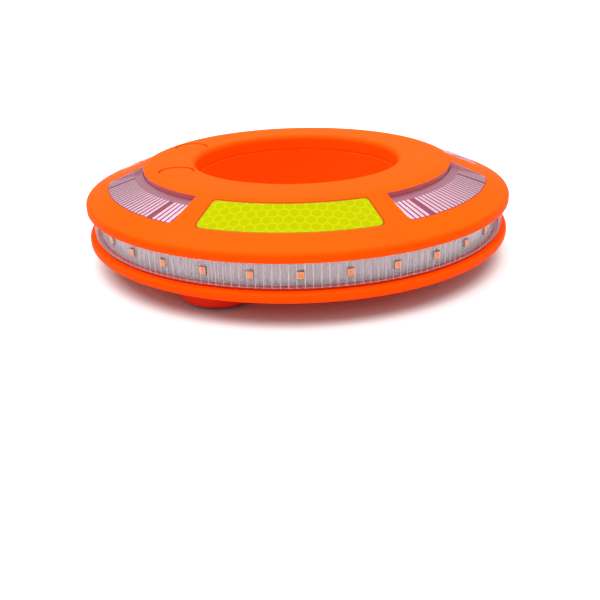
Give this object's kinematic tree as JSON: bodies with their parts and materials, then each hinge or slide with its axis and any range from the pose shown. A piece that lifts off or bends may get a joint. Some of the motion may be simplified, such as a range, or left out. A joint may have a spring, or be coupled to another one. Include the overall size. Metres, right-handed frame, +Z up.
{
  "type": "traffic cone ring light",
  "caption": "Solar ring light that drops over a traffic cone, with a rim band of amber LEDs, solar windows, reflective sheets, push buttons and feet.",
  "frame": {"origin": "on the bore's axis, in the plane that the three foot pads stand on", "axes": "+Z up along the bore; the reflective window between two solar windows faces -Y, the buttons are on the -X side"},
  "size_m": [0.27, 0.27, 0.0593],
  "materials": {
    "orange_shell": "satin moulded ABS",
    "red_foot": "satin moulded elastomer",
    "clear_lens": "fluted polycarbonate",
    "led_strip": "white solder mask with amber LEDs",
    "white_carrier": "satin",
    "silicone": "matt silicone",
    "solar_laminate": "gloss laminate over barred cells",
    "gasket_foam": "closed-cell foam",
    "reflective_sheet": "honeycomb prismatic sheet",
    "pad_rubber": "matt",
    "screw_steel": "zinc plated",
    "black_moulding": "satin",
    "circuit_board": "solder mask",
    "cell_wrap": "shrink wrap",
    "loom_cover": "PVC sleeve"
  },
  "bodies": {
    "housing": {"battery_cell_1": "cell_wrap", "battery_cell_2": "cell_wrap", "battery_cradle_1": "black_moulding", "battery_cradle_2": "black_moulding", "board_screw_1": "screw_steel", "board_screw_2": "screw_steel", "bore_seal": "silicone", "bottom_cover": "orange_shell", "button_board": "circuit_board", "case_screw_1": "screw_steel", "case_screw_2": "screw_steel", "case_screw_3": "screw_steel", "case_screw_4": "screw_steel", "case_screw_5": "screw_steel", "foot_front_left": "red_foot", "foot_pad_front_left": "pad_rubber", "foot_pad_rear_left": "pad_rubber", "foot_pad_right": "pad_rubber", "foot_rear_left": "red_foot", "foot_right": "red_foot", "foot_screw_front_left": "screw_steel", "foot_screw_rear_left": "screw_steel", "foot_screw_right": "screw_steel", "led_carrier": "white_carrier", "led_strip": "led_strip", "lower_lens_seal": "silicone", "main_board": "circuit_board", "mode_seal": "silicone", "mode_switch": "black_moulding", "panel_gasket_front_left": "gasket_foam", "panel_gasket_front_right": "gasket_foam", "panel_gasket_rear_left": "gasket_foam", "panel_gasket_rear_right": "gasket_foam", "power_seal": "silicone", "power_switch": "black_moulding", "reflector_front": "reflective_sheet", "reflector_rear": "reflective_sheet", "rim_lens": "clear_lens", "solar_panel_front_left": "solar_laminate", "solar_panel_front_right": "solar_laminate", "solar_panel_rear_left": "solar_laminate", "solar_panel_rear_right": "solar_laminate", "top_cover": "orange_shell", "upper_lens_seal": "silicone", "wiring_loom": "loom_cover"},
    "power_button": {"power_button": "orange_shell", "power_plunger": "black_moulding"},
    "mode_button": {"mode_button": "orange_shell", "mode_plunger": "black_moulding"}
  },
  "joints": [
    {"name": "power_button_press", "type": "slide", "parent": "housing", "child": "power_button", "axis": [0, 0, -1], "range_m": [0, 0.001], "stiffness_N_per_m": 900, "springref_m": -0.0012},
    {"name": "mode_button_press", "type": "slide", "parent": "housing", "child": "mode_button", "axis": [0, 0, -1], "range_m": [0, 0.001], "stiffness_N_per_m": 900, "springref_m": -0.0012}
  ]
}
